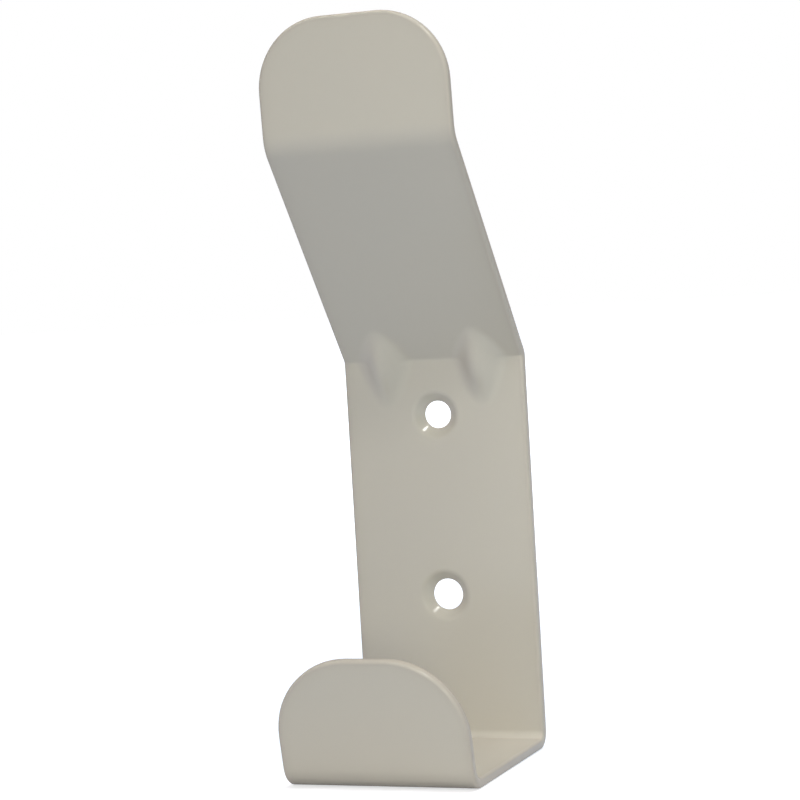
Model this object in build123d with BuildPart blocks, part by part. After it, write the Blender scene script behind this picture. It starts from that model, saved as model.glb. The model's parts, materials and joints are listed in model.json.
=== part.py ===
from build123d import *

import os
from math import radians, sin, tan

# A coat hook, pressed from one strip of steel sheet and painted all over. The
# strip stands on the wall as a flat plate with two countersunk screw holes.
# Above the plate it leans forward as an arm and turns up again into a tab,
# which takes a hat or a hanger. Below the plate it turns forward as a shelf
# and up as a lip, and these are the hook for a coat. Two darts are pressed
# into the bend of plate and arm, so that a weight on the tab doesn't open it.
#
# Millimetres and degrees. +Z is up and +Y points into the wall. The origin is
# on the face that meets the wall, half way between the screw holes.

# The strip
sheet = 1.6  # thickness, with its paint
strip_width = 30.0
edge_round = 0.3  # a sheared edge, deburred and painted

# The plate and its screw holes
hole_spacing = 28.5
upper_hole_radius = 2.15
lower_hole_radius = 2.45
upper_sink_radius = 3.65
lower_sink_radius = 3.85
sink_angle = 100.0  # full angle of both countersinks
bend_above_hole = 9.05  # upper hole to the corner of plate and arm
foot_below_hole = 24.1  # lower hole to the underside of the shelf

# The arm and the tab, with their angles from the vertical
arm_angle = 38.3
arm_length = 42.2  # corner to corner
tab_lean = 3.3
tab_length = 18.7  # corner to end
tab_corner_radius = 10.6

# The shelf and the lip
hook_reach = 34.0  # wall to the front of the shelf
lip_height = 20.1  # underside of the shelf to the end of the lip
lip_lean = 10.5
lip_corner_radius = 12.0

# The inner radius of each bend
tab_bend = 2.0
arm_bend = 0.8
foot_bend = 0.8
lip_bend = 2.2

# The darts across the bend of plate and arm
dart_offset = 8.0  # middle of the strip to the middle of a dart
dart_radius = 4.0  # outside
dart_leg = 6.0  # corner of plate and arm to each end of a dart
dart_blend = 0.6  # where a dart runs out into the sheet

# The middle line of the sheet, as points (y, z) from the tab down to the lip
middle = sheet / 2
arm_corner = Vector(-middle, hole_spacing / 2 + bend_above_hole)
tab_corner = arm_corner + Vector(0, arm_length).rotate(Axis.Z, arm_angle)
tab_end = tab_corner + Vector(0, tab_length).rotate(Axis.Z, tab_lean)
foot_corner = Vector(-middle, middle - hole_spacing / 2 - foot_below_hole)
lip_corner = Vector(middle - hook_reach, foot_corner.Y)
lip_end = lip_corner + Vector(0, lip_height - middle).rotate(Axis.Z, lip_lean)

# A dart is round, and its axis is parallel to the chord from plate to arm. The
# crest is that chord, so it stands this far in front of the sheet's corner.
chord_angle = arm_angle / 2
crest = dart_leg * sin(radians(chord_angle))
front_corner = arm_corner - Vector(middle, middle * tan(radians(chord_angle)))
to_wall = Vector(1, 0).rotate(Axis.Z, chord_angle)
dart_centre = front_corner + to_wall * (dart_radius - crest)
dart_plane = Plane(
    origin=(0, dart_centre.X, dart_centre.Y),
    x_dir=(1, 0, 0),
    z_dir=(0, -to_wall.Y, to_wall.X),
)

# The solid of the darts: two round bars, kept only in front of the middle line
with BuildPart() as darts:
    with BuildSketch(dart_plane):
        with GridLocations(2 * dart_offset, 0, 2, 1):
            Circle(dart_radius)
    extrude(amount=2 * dart_leg, both=True)
    with BuildSketch(Plane.YZ):
        with BuildLine():
            Polyline(
                arm_corner,
                arm_corner + Vector(0, 2 * dart_leg).rotate(Axis.Z, arm_angle),
                arm_corner - Vector(0, 2 * dart_leg),
                close=True,
            )
        make_face()
    extrude(amount=strip_width / 2, both=True, mode=Mode.INTERSECT)

with BuildPart() as coat_hook:
    # The bent strip, from its side view
    with BuildSketch(Plane.YZ):
        with BuildLine():
            FilletPolyline(
                tab_end,
                tab_corner,
                arm_corner,
                foot_corner,
                lip_corner,
                lip_end,
                radius=[bend + middle for bend in (tab_bend, arm_bend, foot_bend, lip_bend)],
            )
        trace(line_width=sheet)
    extrude(amount=strip_width / 2, both=True)

    # The round corners of both ends
    for end, corner_radius in (
        (lip_end, lip_corner_radius),
        (tab_end, tab_corner_radius),
    ):
        end_face = coat_hook.faces().sort_by_distance((0, end.X, end.Y))[0]
        fillet(end_face.edges().filter_by(Axis.X, reverse=True), corner_radius)

    # The outline of each side of the sheet is one smooth run, so a fillet from
    # the end of the tab goes all the way round it
    tab_top = coat_hook.faces().sort_by(Axis.Z)[-1]
    fillet(tab_top.edges().filter_by(Axis.X), edge_round)

    # The darts, raised on the front and hollow behind
    add(darts.part)
    fillet(coat_hook.edges(Select.NEW), dart_blend)
    with BuildSketch(dart_plane):
        with GridLocations(2 * dart_offset, 0, 2, 1):
            Circle(dart_radius - sheet)
    extrude(amount=2 * dart_leg, both=True, mode=Mode.SUBTRACT)
    fillet(coat_hook.edges(Select.NEW), dart_blend)

    # The countersunk screw holes
    plate_front = Plane.XZ.offset(sheet)
    for height, hole_radius, sink_radius in (
        (hole_spacing / 2, upper_hole_radius, upper_sink_radius),
        (-hole_spacing / 2, lower_hole_radius, lower_sink_radius),
    ):
        with Locations(plate_front * Pos(0, height)):
            CounterSinkHole(hole_radius, sink_radius, 2 * sheet, sink_angle)

coat_hook.part.label = "coat_hook"
os.makedirs("parts", exist_ok=True)
export_step(coat_hook.part, "parts/coat_hook.step")
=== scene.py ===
# %% [markdown]
# # A coat hook folded from one strip of steel
#
# The real hook is one strip of sheet steel. It is cut out flat and drilled,
# folded with two darts pressed across one of the folds, and painted all over.
# This lesson goes the same way: a flat blank of small faces, its holes, the
# folds, the darts and the paint. A box model with bevels would be quicker, but
# its holes and its folds would fight over the same few corners. A blank of even
# rows and columns bends as the sheet does, and every fold stays round.
#
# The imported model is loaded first. It is the frame that everything fits.

import json
from math import atan2, ceil, cos, exp, hypot, pi, radians, sin, tan

import bmesh
import bpy
from mathutils import Matrix, Vector


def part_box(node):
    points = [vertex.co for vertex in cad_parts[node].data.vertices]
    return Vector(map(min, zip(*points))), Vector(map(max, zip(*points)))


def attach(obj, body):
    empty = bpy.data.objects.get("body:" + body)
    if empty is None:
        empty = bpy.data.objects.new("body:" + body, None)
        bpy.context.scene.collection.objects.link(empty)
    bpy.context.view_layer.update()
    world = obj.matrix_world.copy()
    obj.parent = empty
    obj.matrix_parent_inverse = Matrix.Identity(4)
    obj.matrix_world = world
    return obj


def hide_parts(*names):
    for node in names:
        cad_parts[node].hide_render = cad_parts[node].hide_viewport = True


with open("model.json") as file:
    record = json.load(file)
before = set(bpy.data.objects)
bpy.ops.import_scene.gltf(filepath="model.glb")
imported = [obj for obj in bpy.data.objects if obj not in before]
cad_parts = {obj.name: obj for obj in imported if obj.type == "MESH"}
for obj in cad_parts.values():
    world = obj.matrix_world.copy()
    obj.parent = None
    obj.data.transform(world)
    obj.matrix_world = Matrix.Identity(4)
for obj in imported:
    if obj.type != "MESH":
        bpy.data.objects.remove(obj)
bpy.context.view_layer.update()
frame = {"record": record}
hook_low, hook_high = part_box("coat_hook")
print("The packed hook spans", [round(1000 * d, 2) for d in hook_high - hook_low], "mm")

# %% [markdown]
# ## The strip's sizes
#
# The sizes are the ones that the hook's source was drawn with, in millimetres
# and degrees, apart from the rounding. Paint fills a bend and rounds a cut edge
# off, so the bends of the tab and the foot and the cut edges are rounder here
# than in the bare steel. The darts, which the source draws as plain bars, get a
# form of their own further on. The width and the places of the screw holes are
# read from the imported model.

# %% Sheet and outline
MM = 0.001
sheet = 1.6
middle = sheet / 2
strip_width = (hook_high.x - hook_low.x) / MM
edge_round = 0.5
tab_corner_radius = 10.6
lip_corner_radius = 12.0

mounts = {mount["name"]: mount for mount in frame["record"]["mounts"]}
upper_hole = mounts["upper_screw_hole"]["pos_m"][2] / MM
lower_hole = mounts["lower_screw_hole"]["pos_m"][2] / MM
print("The strip is", round(strip_width, 2), "mm wide, its holes at", upper_hole, lower_hole)

# %% [markdown]
# ## The side view
#
# Seen from its side the hook is one line with four corners. The line runs
# through the middle of the sheet, from the tab's tip to the lip's, and its
# corners are (y, z): y grows into the wall, and z grows upwards.

# %% The corners of the side view
bend_above_hole = 9.05
arm_angle = 38.3
arm_length = 42.2
tab_lean = 3.3
tab_length = 18.7
foot_below_hole = 24.1
hook_reach = 34.0
lip_lean = 10.5
lip_height = 20.1


def lean(angle, length):
    """A step up the sheet that leans away from the wall."""
    return Vector((-sin(radians(angle)), cos(radians(angle)))) * length


arm_corner = Vector((-middle, upper_hole + bend_above_hole))
tab_corner = arm_corner + lean(arm_angle, arm_length)
tab_end = tab_corner + lean(tab_lean, tab_length)
foot_corner = Vector((-middle, lower_hole - foot_below_hole + middle))
lip_corner = Vector((middle - hook_reach, foot_corner.y))
lip_end = lip_corner + lean(lip_lean, lip_height - middle)
side_view = [tab_end, tab_corner, arm_corner, foot_corner, lip_corner, lip_end]
inner_bends = [4.5, 0.8, 1.2, 2.2]  # the radii inside the tab's, arm's, foot's and lip's bends
print("The side view has", len(inner_bends), "bends")

# %% [markdown]
# ## Straight runs and bends
#
# A press brake leaves straight runs with a round bend between them. Blender
# could bevel a polyline, but a fold needs to know two things at any length
# along the sheet: where the middle line is, and which way the sheet faces. So
# the line is kept as a list of runs, each with its length, start, heading and
# turn, and one function walks along them. The same two functions draw the
# section of a screw hole later.

# %% A line with rounded corners


def rounded_line(corners, radii):
    """The runs of a line: (length, start, heading, turn), with no turn if straight."""
    runs, here = [], corners[0]
    for last, corner, following, radius in zip(corners, corners[1:], corners[2:], radii):
        ahead = (corner - last).normalized()
        new_ahead = (following - corner).normalized()
        turn = atan2(ahead.x * new_ahead.y - ahead.y * new_ahead.x, ahead.dot(new_ahead))
        trim = radius * tan(abs(turn) / 2)
        bend_start = corner - ahead * trim
        runs.append(((bend_start - here).length, here, ahead, 0.0))
        runs.append((radius * abs(turn), bend_start, ahead, turn))
        here = corner + new_ahead * trim
    rest = corners[-1] - here
    runs.append((rest.length, here, rest.normalized(), 0.0))
    return runs


def walk(runs, along):
    """The place and the heading after that length of the line."""
    for run in runs:
        length, start, ahead, turn = run
        if along <= length or run is runs[-1]:
            break
        along -= length
    if not turn:
        return start + ahead * along, ahead
    radius = length / turn
    angle = along / radius
    left = Vector((-ahead.y, ahead.x))
    place = start + ahead * radius * sin(angle) + left * radius * (1 - cos(angle))
    return place, Matrix.Rotation(angle, 2) @ ahead


# %% The blank's length
fold_runs = rounded_line(side_view, [bend + middle for bend in inner_bends])
run_ends = [0.0]
for run_length, *_ in fold_runs:
    run_ends.append(run_ends[-1] + run_length)
strip_length = run_ends[-1]
tab_bend_start, arm_start, arm_bend_start, plate_start = run_ends[1:5]
plate_end, shelf_start, shelf_end, lip_start = run_ends[5:9]
print("The blank is", round(strip_length, 2), "mm long")

# %% [markdown]
# ## Rows and columns of the flat blank
#
# The blank is a sheet of four-sided faces. Its rows lie close together where
# the sheet will bend and where the darts are pressed, and its columns are close
# there too. At the two round ends each row is as wide as the outline is there,
# so the columns close up and follow the curve. The rows stop one edge round
# short of the outline, and the edge goes on from there.

# %% Zones of rows
dart_zone = 9.5  # no dart reaches further than this from the arm's bend
hole_block = 5.0  # half the side of the square round each hole
plate_top = fold_runs[4][1].y  # how high the plate's straight run starts
hole_along = {
    "upper": plate_start + plate_top - upper_hole,
    "lower": plate_start + plate_top - lower_hole,
}

# Each zone is where it starts along the blank and the step between its rows.
row_zones = [
    (tab_corner_radius, 0.9),
    (tab_bend_start, 0.18),
    (arm_start, 1.2),
    (arm_bend_start - dart_zone, 0.28),
    (arm_bend_start, 0.12),
    (plate_start, 0.28),
    (hole_along["upper"] - hole_block, 0.36),
    (hole_along["upper"] + hole_block, 1.1),
    (hole_along["lower"] - hole_block, 0.5),
    (hole_along["lower"] + hole_block, 1.0),
    (plate_end, 0.18),
    (shelf_start, 1.1),
    (shelf_end, 0.3),
    (lip_start, 0.9),
    (strip_length - lip_corner_radius, None),
]
print("The rows lie in", len(row_zones) - 1, "zones between the round ends")

# %% Rows
straight_half = strip_width / 2 - edge_round
corner_steps = 18


def spread(first, last, step):
    """Even steps from first up to last, without last."""
    count = ceil((last - first) / step)
    return [first + (last - first) * i / count for i in range(count)]


def round_end(radius):
    """Rows of a round end, from its tip: (from the tip, half width, outward)."""
    rows = []
    inset = radius - edge_round
    for i in range(corner_steps):
        angle = pi / 2 * i / corner_steps
        half = strip_width / 2 - radius + inset * sin(angle)
        rows.append((radius - inset * cos(angle), half, (sin(angle), -cos(angle))))
    return rows


blank_rows = round_end(tab_corner_radius)
for (start, step), (end, _) in zip(row_zones, row_zones[1:]):
    blank_rows += [(along, straight_half, (1.0, 0.0)) for along in spread(start, end, step)]
blank_rows.append((strip_length - lip_corner_radius, straight_half, (1.0, 0.0)))
for tip, half, (sideways, endways) in reversed(round_end(lip_corner_radius)):
    blank_rows.append((strip_length - tip, half, (sideways, -endways)))
print("The blank has", len(blank_rows), "rows")

# %% Columns
darts_inside, darts_outside = 3.0, 13.2  # the darts lie between these, from the middle
middle_step, dart_step, side_step = 0.6, 0.29, 0.4
half_columns = spread(0.0, darts_inside, middle_step)
half_columns += spread(darts_inside, hole_block, dart_step)
half_columns += spread(hole_block, darts_outside, dart_step)
half_columns += spread(darts_outside, straight_half, side_step)
half_columns.append(straight_half)
blank_columns = [-x for x in half_columns[:0:-1]] + half_columns
print("The blank has", len(blank_columns), "columns")

# %% [markdown]
# ## The two faces of the blank
#
# The blank has a front and a back, half a sheet out from its middle. Each is
# laid out flat, as (across, along, out). A square of faces is left out round
# each screw hole, for the rings that the drill and the countersink leave.

# %% Squares left out for the holes
last_row, last_column = len(blank_rows) - 1, len(blank_columns) - 1
column_of = {round(x, 6): j for j, x in enumerate(blank_columns)}
row_of = {round(row[0], 6): i for i, row in enumerate(blank_rows)}

hole_squares = {}
for name, along in hole_along.items():
    first, last = row_of[round(along - hole_block, 6)], row_of[round(along + hole_block, 6)]
    hole_squares[name] = (first, last, column_of[-hole_block], column_of[hole_block])


def in_a_hole(i, j, reach):
    """True inside a hole's square: reach 1 for points, 0 for the faces' corners."""
    for top, bottom, left, right in hole_squares.values():
        if top + reach <= i < bottom and left + reach <= j < right:
            return True
    return False


print("The squares left out are", hole_squares)

# %% Front and back
blank = bmesh.new()
rim_layer = blank.verts.layers.float.new("rim")


def lay_face(out):
    """The points of one side of the blank, row by row, and the faces between them."""
    points = []
    for i, (along, half, _) in enumerate(blank_rows):
        line = []
        for j, x in enumerate(blank_columns):
            place = (x * half / straight_half, along, out)
            line.append(None if in_a_hole(i, j, 1) else blank.verts.new(place))
        points.append(line)
    for i in range(last_row):
        for j in range(last_column):
            if not in_a_hole(i, j, 0):
                near, far = points[i], points[i + 1]
                blank.faces.new((near[j], near[j + 1], far[j + 1], far[j]))
    return points


front = lay_face(middle)
back = lay_face(-middle)
print("The two faces have", len(blank.faces), "small faces")

# %% [markdown]
# ## The sheared edge
#
# The strip is sheared from the sheet, and its edges are rubbed down before it
# is painted, so no edge is sharp. The edge is made of rings: a quarter round
# off the front, a narrow flat, and a quarter round on to the back. A bevel
# modifier would find these edges too, but it would also find every other one.

# %% Closed rings of points


def join_rings(rings):
    """Four-sided faces between closed rings that have the same number of points."""
    for near, far in zip(rings, rings[1:]):
        for k in range(len(near)):
            blank.faces.new((near[k - 1], near[k], far[k], far[k - 1]))


def way_round(top, bottom, left, right):
    """The rows and columns met on the way round a square of the blank."""
    way = [(top, j) for j in range(left, right)]
    way += [(i, right) for i in range(top, bottom)]
    way += [(bottom, j) for j in range(right, left, -1)]
    way += [(i, left) for i in range(bottom, top, -1)]
    return way


edge_way = way_round(0, last_row, 0, last_column)
print("The outline has", len(edge_way), "points")

# %% Edge rings
round_steps = 5


def outward(i, j):
    """Which way is out of the blank, across and along, at a point of its outline."""
    if i in (0, last_row):
        return Vector((0.0, -1.0 if i == 0 else 1.0))
    sideways, endways = blank_rows[i][2]
    return Vector((sideways if j else -sideways, endways))


def edge_ring(lift, angle):
    """One ring of the edge: lift is 1 on the front half of it and -1 behind."""
    ring = []
    for i, j in edge_way:
        step = outward(i, j) * edge_round * sin(angle)
        place = front[i][j].co
        out = lift * (middle - edge_round * (1 - cos(angle)))
        ring.append(blank.verts.new((place.x + step.x, place.y + step.y, out)))
    return ring


turns = [pi / 2 * k / round_steps for k in range(1, round_steps + 1)]
edge_rings = [[front[i][j] for i, j in edge_way]]
edge_rings += [edge_ring(1, angle) for angle in turns]
edge_rings += [edge_ring(-1, angle) for angle in reversed(turns)]
edge_rings.append([back[i][j] for i, j in edge_way])
join_rings(edge_rings)
print("The edge has", len(edge_rings), "rings")

# %% [markdown]
# ## The screw holes
#
# A drill goes through and a countersink opens the front, so a screw's head
# lies flush. Paint lies thick in such a hole and rounds its edges off. The
# section of the hole is a line with rounded corners, turned about the hole's
# axis: down the cone, down the short bore and out on to the back. Its rings
# have a point for each point of the square that was left out, in the same
# direction from the axis, so the faces between stay tidy.

# %% Sizes of the holes
sink_angle = 100.0
sink_radius = {"upper": 3.65, "lower": 3.85}
sink_rounds = [1.4, 0.2, 0.2]  # at the rim, at the foot of the cone and at the back
round_ring_step = 0.11
straight_ring_step = 0.5
front_shares = (0.66, 0.33)  # of the square's form, in the rings outside the rim
back_shares = (0.2, 0.6)
hair = 1e-9  # lets the last ring through when lengths don't add up exactly
cone_slope = tan(radians(sink_angle / 2))


def hole_section(bore, cone):
    """The runs of a hole's section, as (from the axis, out of the sheet's middle)."""
    cone_foot = middle - (cone - bore) / cone_slope
    corners = [(hole_block, middle), (cone, middle), (bore, cone_foot)]
    corners += [(bore, -middle), (hole_block, -middle)]
    return rounded_line([Vector(corner) for corner in corners], sink_rounds)


def ring_stations(section):
    """Where the rings lie along a section, from its first bend to its last."""
    stations, gone = [], 0.0
    for length, _, _, turn in section:
        step = round_ring_step if turn else straight_ring_step
        stations += spread(gone, gone + length, step)
        gone += length
    end = gone - section[-1][0] + hair
    return [station for station in stations if section[0][0] <= station <= end]


print("The countersinks open at", sink_angle, "degrees")

# %% Countersunk holes


def drill(square, along, section):
    """The rings of one countersunk hole, between the two sides of the blank."""
    way = way_round(*square)
    rings = [[front[i][j] for i, j in way]]
    from_axis = [Vector((point.co.x, point.co.y - along)) for point in rings[0]]

    def ring_at(radius, out, square_share=0.0):
        """A ring that is round, or takes a share of the square's form."""
        ring = []
        for far in from_axis:
            place = (far.normalized() * radius).lerp(far, square_share)
            ring.append(blank.verts.new((place.x, place.y + along, out)))
        return ring

    stations = ring_stations(section)
    places = [walk(section, station)[0] for station in stations]
    rings += [ring_at(places[0].x, middle, share) for share in front_shares]
    rings += [ring_at(place.x, place.y) for place in places]
    rings += [ring_at(places[-1].x, -middle, share) for share in back_shares]
    rings.append([back[i][j] for i, j in way])
    join_rings(rings)
    return len(rings)


for name, square in hole_squares.items():
    bore = mounts[name + "_screw_hole"]["dims"]["r_mm"]
    made = drill(square, hole_along[name], hole_section(bore, sink_radius[name]))
    print("The", name, "hole has", made, "rings")

# %% [markdown]
# ## Folding
#
# Every point of the blank is now moved to its place: along the middle line by
# its length, and out from it by its depth. A bend stretches the outside and
# squeezes the inside by itself, because the rows fan out round its centre. On
# the way each point notes how near it is to the outline. The paint draws thin
# there, and its darker colour there is also painted shade on the cut edges.

# %% Fold the blank
thin_and_shade_band = 0.7  # how far in from the outline the coat is thin and painted darker as shade


def fold(across, along, out):
    """A point of the flat blank at its place on the folded strip."""
    place, ahead = walk(fold_runs, along)
    to_front = Vector((ahead.y, -ahead.x))
    return Vector((across, *(place + to_front * out)))


def from_outline(across, along):
    """How far a point of the blank is from its outline."""
    near_tab = along < strip_length / 2
    radius = tab_corner_radius if near_tab else lip_corner_radius
    from_tip = along if near_tab else strip_length - along
    beside = abs(across) - (strip_width / 2 - radius)
    beyond = radius - from_tip
    if beside > 0 and beyond > 0:
        return radius - hypot(beside, beyond)
    return min(strip_width / 2 - abs(across), from_tip)


front_points = set()
for point in blank.verts:
    across, along, out = point.co
    # The rim value is 1 at the outline. It darkens the coat there: thin paint, and painted
    # shade on the cut edges.
    point[rim_layer] = exp(-max(from_outline(across, along), 0.0) / thin_and_shade_band)
    if out > 0:
        front_points.add(point)
    point.co = fold(across, along, out)
print("The fold moved", len(blank.verts), "points,", len(front_points), "of them in front")

# %% [markdown]
# ## The darts
#
# A flat fold opens when weight pulls on the tab. Two darts pressed across the
# fold stop it, because a raised rib is far stiffer than a flat sheet. Each is
# like the ridge of a roof, rounded on top and highest over the fold. Its
# ridge goes down into the sheet on both sides, so from the front the dart is
# wide at the fold and runs out to a point up the arm and down the plate. The
# press works from behind and leaves a hollow of the same form there, one sheet
# away. Each point near the fold moves straight out of the corner until it lies
# on the dart, and a soft maximum blends the dart into the sheet. A separate
# rib laid on the sheet would leave a seam.

# %% The form of a dart
dart_offset = 8.0
dart_up_arm = 4.8
dart_down_plate = 5.9
dart_bow = 1.0
dart_ridge = 1.9
dart_flank = 1.25
dart_blend = 1.5

chord_angle = radians(arm_angle / 2)
up_chord = Vector((-sin(chord_angle), cos(chord_angle)))
out_of_corner = Vector((-cos(chord_angle), -sin(chord_angle)))
front_corner = arm_corner - Vector((middle, middle * tan(chord_angle)))


def soft_maximum(a, b, blend):
    """The larger of two heights, with a rounded valley where they meet."""
    return max(a, b) + max(blend - abs(a - b), 0.0) ** 2 / (4 * blend)


def ridge_height(up):
    """How far a dart's ridge stands out of the corner, at a place up the chord."""
    share = (up / cos(chord_angle) + dart_down_plate) / (dart_up_arm + dart_down_plate)
    straight = (1 - share) * dart_down_plate + share * dart_up_arm
    return straight * sin(chord_angle) + dart_bow * 4 * share * (1 - share)


print("A dart's ridge stands", round(ridge_height(0.0), 2), "mm out of the fold's corner")

# %% Press the darts
pressed = 0
for point in blank.verts:
    from_corner = Vector(point.co[1:]) - front_corner
    up = from_corner.dot(up_chord)
    if abs(up) > dart_zone:
        continue
    aside = abs(point.co.x) - dart_offset
    height = from_corner.dot(out_of_corner)
    dart = ridge_height(up) - dart_flank * (hypot(aside, dart_ridge) - dart_ridge)
    if point not in front_points:
        dart -= sheet / cos(chord_angle)
    lift = soft_maximum(height, dart, dart_blend) - height
    point.co.y += out_of_corner.x * lift
    point.co.z += out_of_corner.y * lift
    pressed += lift > 0
print("The darts moved", pressed, "points")

# %% [markdown]
# ## The finished mesh
#
# The mesh is scaled to metres, and its faces are turned outwards. Shading is
# smooth everywhere, and a weighted normal modifier keeps the flat faces flat
# right up to the rounds beside them.

# %% Mesh and object
for point in blank.verts:
    point.co *= MM
bmesh.ops.recalc_face_normals(blank, faces=blank.faces)
for face in blank.faces:
    face.smooth = True
hook_mesh = bpy.data.meshes.new("painted_hook")
blank.to_mesh(hook_mesh)
blank.free()
painted_hook = bpy.data.objects.new("painted_hook", hook_mesh)
bpy.context.scene.collection.objects.link(painted_hook)
painted_hook.modifiers.new("flat_faces", "WEIGHTED_NORMAL")
print("The hook has", len(hook_mesh.polygons), "faces")

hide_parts("coat_hook")
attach(painted_hook, "root")

# %% [markdown]
# ## Shader sums
#
# A finish is a tree of nodes. Two small helpers keep it readable: one wraps a
# socket, so sums are written as sums, and one adds any other node, with its
# settings first and then the values or links of its sockets.

# %% A socket that can stand in a sum


class Value:
    """An output socket, with the signs of arithmetic."""

    def __init__(self, nodes, socket):
        self.nodes, self.socket = nodes, socket

    def combine(self, operation, other):
        """A Math node with this value first and the other second."""
        inputs = {0: self, 1: other}
        return self.nodes.add("ShaderNodeMath", {"operation": operation}, inputs)

    def __add__(self, other):
        return self.combine("ADD", other)

    def __mul__(self, other):
        return self.combine("MULTIPLY", other)

    __radd__ = __add__
    __rmul__ = __mul__


print("Sockets can be added and multiplied")

# %% A tree of nodes

# A colour mix has sockets of the same name for each kind of data, so the ones
# for colours go by number.
COLOUR_A, COLOUR_B, COLOUR_RESULT = 6, 7, 2


class Nodes:
    """The node tree of a material or the world, emptied first."""

    def __init__(self, owner):
        owner.use_nodes = True
        self.tree = owner.node_tree
        self.tree.nodes.clear()

    def add(self, kind, settings=None, inputs=None, output=0):
        """Any node: its settings, then the values or links of its sockets."""
        node = self.tree.nodes.new(kind)
        for name, value in (settings or {}).items():
            setattr(node, name, value)
        for name, value in (inputs or {}).items():
            if isinstance(value, Value):
                self.tree.links.new(value.socket, node.inputs[name])
            else:
                node.inputs[name].default_value = value
        return Value(self, node.outputs[output]) if node.outputs else None

    def noise(self, where, scale, detail):
        """A noise from 0 to 1 at a place, in grains for each metre."""
        inputs = {"Vector": where, "Scale": scale, "Detail": detail, "Roughness": 0.5}
        return self.add("ShaderNodeTexNoise", {}, inputs)

    def mix_colours(self, factor, a, b):
        """Colour a where the factor is 0, and colour b where it is 1."""
        inputs = {"Factor": factor, COLOUR_A: a, COLOUR_B: b}
        return self.add("ShaderNodeMix", {"data_type": "RGBA"}, inputs, COLOUR_RESULT)

    def rise(self, value, start, end, low, high):
        """A smooth rise from low to high while a value goes from start to end."""
        inputs = {"Value": value, "From Min": start, "From Max": end}
        inputs.update({"To Min": low, "To Max": high})
        return self.add("ShaderNodeMapRange", {"interpolation_type": "SMOOTHSTEP"}, inputs)


print("Trees can hold noises, colour mixes and smooth rises")

# %% [markdown]
# ## The paint
#
# The hook is powder coated in a warm light grey, with a satin gloss. Powder
# melts into a skin that is never quite flat: it has a faint orange peel about
# a millimetre across. Its colour wanders a little. Round the edges it draws
# thin, and its colour there is made darker, partly as painted shade on the cut
# edges. The peel is a bump and not geometry, since it is a few thousandths of a millimetre
# high.

# %% Powder coat
coat_material = bpy.data.materials.new("powder_coat")
coat = Nodes(coat_material)
where = coat.add("ShaderNodeTexCoord", output="Object")
rim = coat.add("ShaderNodeAttribute", {"attribute_name": "rim"}, output="Fac")
clouds = coat.noise(where, scale=70.0, detail=3.0)
speckle = coat.noise(where, scale=2600.0, detail=1.0)
peel = coat.noise(where, scale=900.0, detail=2.0)

paint_warm = (0.450, 0.413, 0.348, 1.0)
paint_cool = (0.436, 0.410, 0.355, 1.0)
# The thin coat's darker colour is partly painted shade on the cut edges.
thin_paint_and_edge_shade = (0.370, 0.332, 0.280, 1.0)
thin_and_shade_share = 0.75  # how far the very edge goes towards the thin coat's colour and its painted shade
satin_roughness, roughness_range = 0.19, 0.04
cloud_share, speckle_share = 0.7, 0.3
peel_relief = {"Strength": 0.12, "Distance": 0.02 * MM, "Height": peel}

wander = clouds * cloud_share + speckle * speckle_share
wandering = coat.mix_colours(wander, paint_warm, paint_cool)
satin = coat.add(
    "ShaderNodeBsdfPrincipled",
    {},
    {
        # Every edge goes towards the darker colour: thin paint, and painted shade on the cut
        # edges.
        "Base Color": coat.mix_colours(rim * thin_and_shade_share, wandering, thin_paint_and_edge_shade),
        "Roughness": clouds * roughness_range + satin_roughness,
        "Normal": coat.add("ShaderNodeBump", {}, peel_relief),
        "IOR": 1.5,
    },
)
coat.add("ShaderNodeOutputMaterial", {}, {"Surface": satin})
hook_mesh.materials.append(coat_material)
print("The paint has", len(coat.tree.nodes), "nodes")

# %% [markdown]
# ## The camera
#
# The camera stands in front of the hook and to its right, a little above its
# middle and near enough for the lip to look larger than the plate. It is
# turned round the vertical first, then tipped down, then rolled.

# %% Camera
camera_place = Vector((135.757, -361.485, 36.490)) * MM
camera_turn = radians(21.468)
camera_tip = radians(-2.910)
camera_roll = radians(3.401)

camera_data = bpy.data.cameras.new("camera")
camera_data.sensor_width = 36.0
camera_data.lens = 110.29
camera = bpy.data.objects.new("camera", camera_data)
turned = Matrix.Rotation(camera_turn, 4, "Z")
tipped = Matrix.Rotation(camera_tip, 4, "X")
rolled = Matrix.Rotation(camera_roll, 4, "Y")
level = Matrix.Rotation(radians(90.0), 4, "X")
stand = Matrix.Translation(camera_place)
camera.matrix_world = stand @ turned @ tipped @ rolled @ level
bpy.context.scene.collection.objects.link(camera)
bpy.context.scene.camera = camera
print("The camera is", round(camera.location.length, 3), "m away")

# %% [markdown]
# ## Light
#
# Five broad lamps light the hook softly: from the front, the right, the left,
# above and behind. The front and the right lamp are feathered. They shine in a
# narrow spread past the hook's right side, so the hook stands in the rim of
# their light and its right is brighter than its left. A broad lamp would show
# as a bright arc along every rounded rim, so none of the five shows in the
# gloss. One small lamp does, and makes the streaks in the countersinks.

# %% Lamps
aim = Vector((0.0, -0.015, 0.015))
feather_spread = radians(50.0)
feather_rise = 0.2  # how far up a feathered lamp aims, for each metre to the side
broad = 0.75
small = 0.06


def lamp(name, place, size, power, colour, feather=0.0, shows=False):
    """A square lamp that faces the hook, or past its right side by the feather."""
    data = bpy.data.lights.new(name, "AREA")
    data.size, data.energy, data.color = size, power, colour
    if feather:
        data.spread = feather_spread
    light = bpy.data.objects.new(name, data)
    light.visible_glossy = shows
    light.location = place
    towards = aim + Vector((feather, 0.0, feather * feather_rise)) - light.location
    light.rotation_mode = "QUATERNION"
    light.rotation_quaternion = towards.to_track_quat("-Z", "Y")
    bpy.context.scene.collection.objects.link(light)
    print("The", name, "gives", power, "W")


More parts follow.
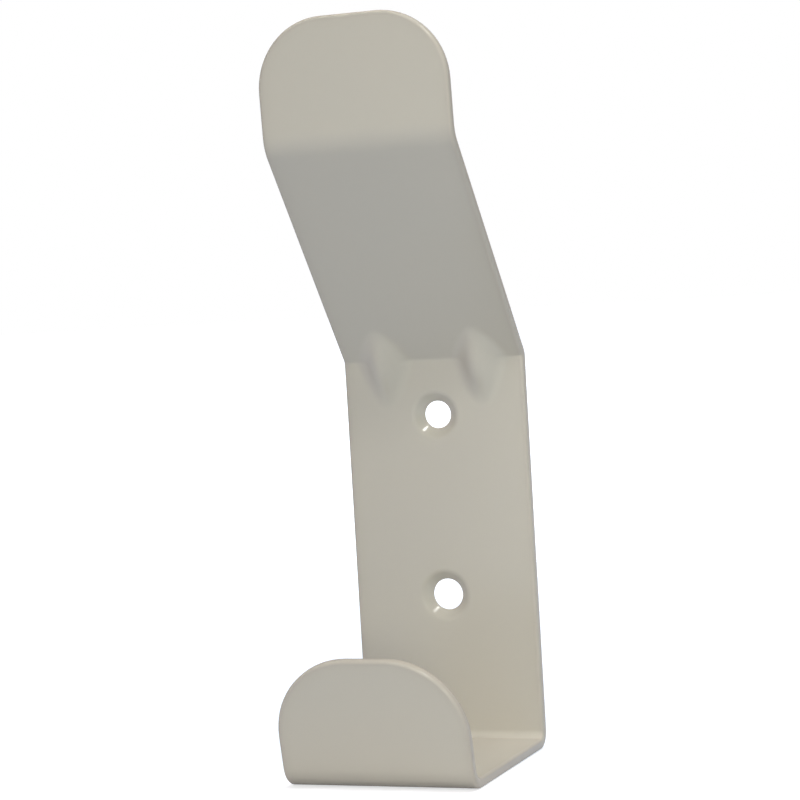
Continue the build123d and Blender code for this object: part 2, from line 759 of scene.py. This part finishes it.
lamp("front_lamp", (0.0, -1.16, 0.98), broad, 1.3, (1.0, 0.965, 0.91), feather=0.52)
lamp("right_lamp", (0.85, -1.23, 0.28), broad, 3.35, (0.995, 1.035, 0.955), feather=0.53)
lamp("left_lamp", (-1.35, -0.60, 0.30), broad, 3.6, (0.98, 0.86, 0.95))
lamp("high_lamp", (0.38, -0.07, 1.45), broad, 17.3, (1.0, 1.0, 0.985))
lamp("small_lamp", (0.30, -0.31, 0.55), small, 1.05, (1.0, 0.985, 0.95), shows=True)
lamp("back_lamp", (-0.30, 1.30, 0.70), broad, 9.0, (1.0, 0.985, 0.95))

# %% [markdown]
# ## The surroundings
#
# The rest of the light comes from a pale, cool world on all sides. A camera
# ray that misses the hook meets plain white instead, and a reflection meets a
# share of it. The white is only looked at, and adds no light to the hook but
# in its gloss.

# %% World
gloss_share = 0.3  # how much of the white shows in a reflection
black = (0.0, 0.0, 0.0, 1.0)
white = (1.0, 1.0, 1.0, 1.0)
air_colour = (0.92, 0.98, 1.12, 1.0)
air_strength = 0.175


def looked_at(nodes):
    """1 for a camera ray or one through glass, and the gloss share for a reflection."""
    by_camera = nodes.add("ShaderNodeLightPath", output="Is Camera Ray")
    by_gloss = nodes.add("ShaderNodeLightPath", output="Is Glossy Ray")
    through = nodes.add("ShaderNodeLightPath", output="Is Transmission Ray")
    return by_camera + by_gloss * gloss_share + through


world = bpy.data.worlds.new("studio")
bpy.context.scene.world = world
sky = Nodes(world)
air = sky.add("ShaderNodeBackground", {}, {"Color": air_colour, "Strength": air_strength})
backdrop = sky.add("ShaderNodeBackground", {}, {"Color": white, "Strength": 1.0})
both = sky.add("ShaderNodeMixShader", {}, {0: looked_at(sky), 1: air, 2: backdrop})
sky.add("ShaderNodeOutputWorld", {}, {"Surface": both})
print("The world gives light of strength", air_strength)

# %% [markdown]
# ## The floor
#
# The hook stands on its shelf on a plain floor. Lit by the lamps alone the
# floor would look grey, so it glows where it is looked at. The glow is weaker
# near the hook, where the floor has to show its shadow, and full further off,
# where the floor has to meet the white behind it. The floor also throws light
# back up at the hook, so its own colour is chosen for that: pale and cool, and
# a little paler and warmer right under the lip.

# %% A floor for the hook
floor_half = 4.0
floor_gap = 0.02 * MM
floor_corners = [(-1, -1), (1, -1), (1, 1), (-1, 1)]
floor_mesh = bpy.data.meshes.new("floor")
floor_points = [(x * floor_half, y * floor_half, 0) for x, y in floor_corners]
floor_mesh.from_pydata(floor_points, [], [(0, 1, 2, 3)])
floor = bpy.data.objects.new("floor", floor_mesh)
floor.location.z = hook_low.z - floor_gap
bpy.context.scene.collection.objects.link(floor)
print("The floor is", 2 * floor_half, "m wide")

# %% Floor finish
floor_near = (0.54, 0.54, 0.57, 1.0)
floor_far = (0.42, 0.455, 0.53, 1.0)
under_lip = (0.0, -0.036, 0.0)
glow_near, glow_far = 0.1, 0.35  # in metres from the middle of the floor
patch_near, patch_far = 0.015, 0.035  # in metres from the foot of the lip

floor_material = bpy.data.materials.new("floor")
ground = Nodes(floor_material)
spot = ground.add("ShaderNodeTexCoord", output="Object")
away = ground.add("ShaderNodeVectorMath", {"operation": "LENGTH"}, {0: spot}, "Value")
from_lip = ground.add(
    "ShaderNodeVectorMath", {"operation": "DISTANCE"}, {0: spot, 1: under_lip}, "Value"
)
glow_share = looked_at(ground) * ground.rise(away, glow_near, glow_far, low=0.6, high=1.0)
apart = ground.rise(from_lip, patch_near, patch_far, low=0.0, high=1.0)
matt = ground.add(
    "ShaderNodeBsdfPrincipled",
    {},
    {
        "Base Color": ground.mix_colours(apart, floor_near, floor_far),
        "Roughness": 1.0,
        "Specular IOR Level": 0.0,
        "Emission Color": ground.mix_colours(glow_share, black, white),
        "Emission Strength": 1.0,
    },
)
ground.add("ShaderNodeOutputMaterial", {}, {"Surface": matt})
floor_mesh.materials.append(floor_material)
print("The floor's finish has", len(ground.tree.nodes), "nodes")

# %% [markdown]
# ## Last lines
#
# The scene is shown without a film look, so a colour renders as it is written.

# %% Finish
bpy.context.scene.view_settings.view_transform = "Standard"
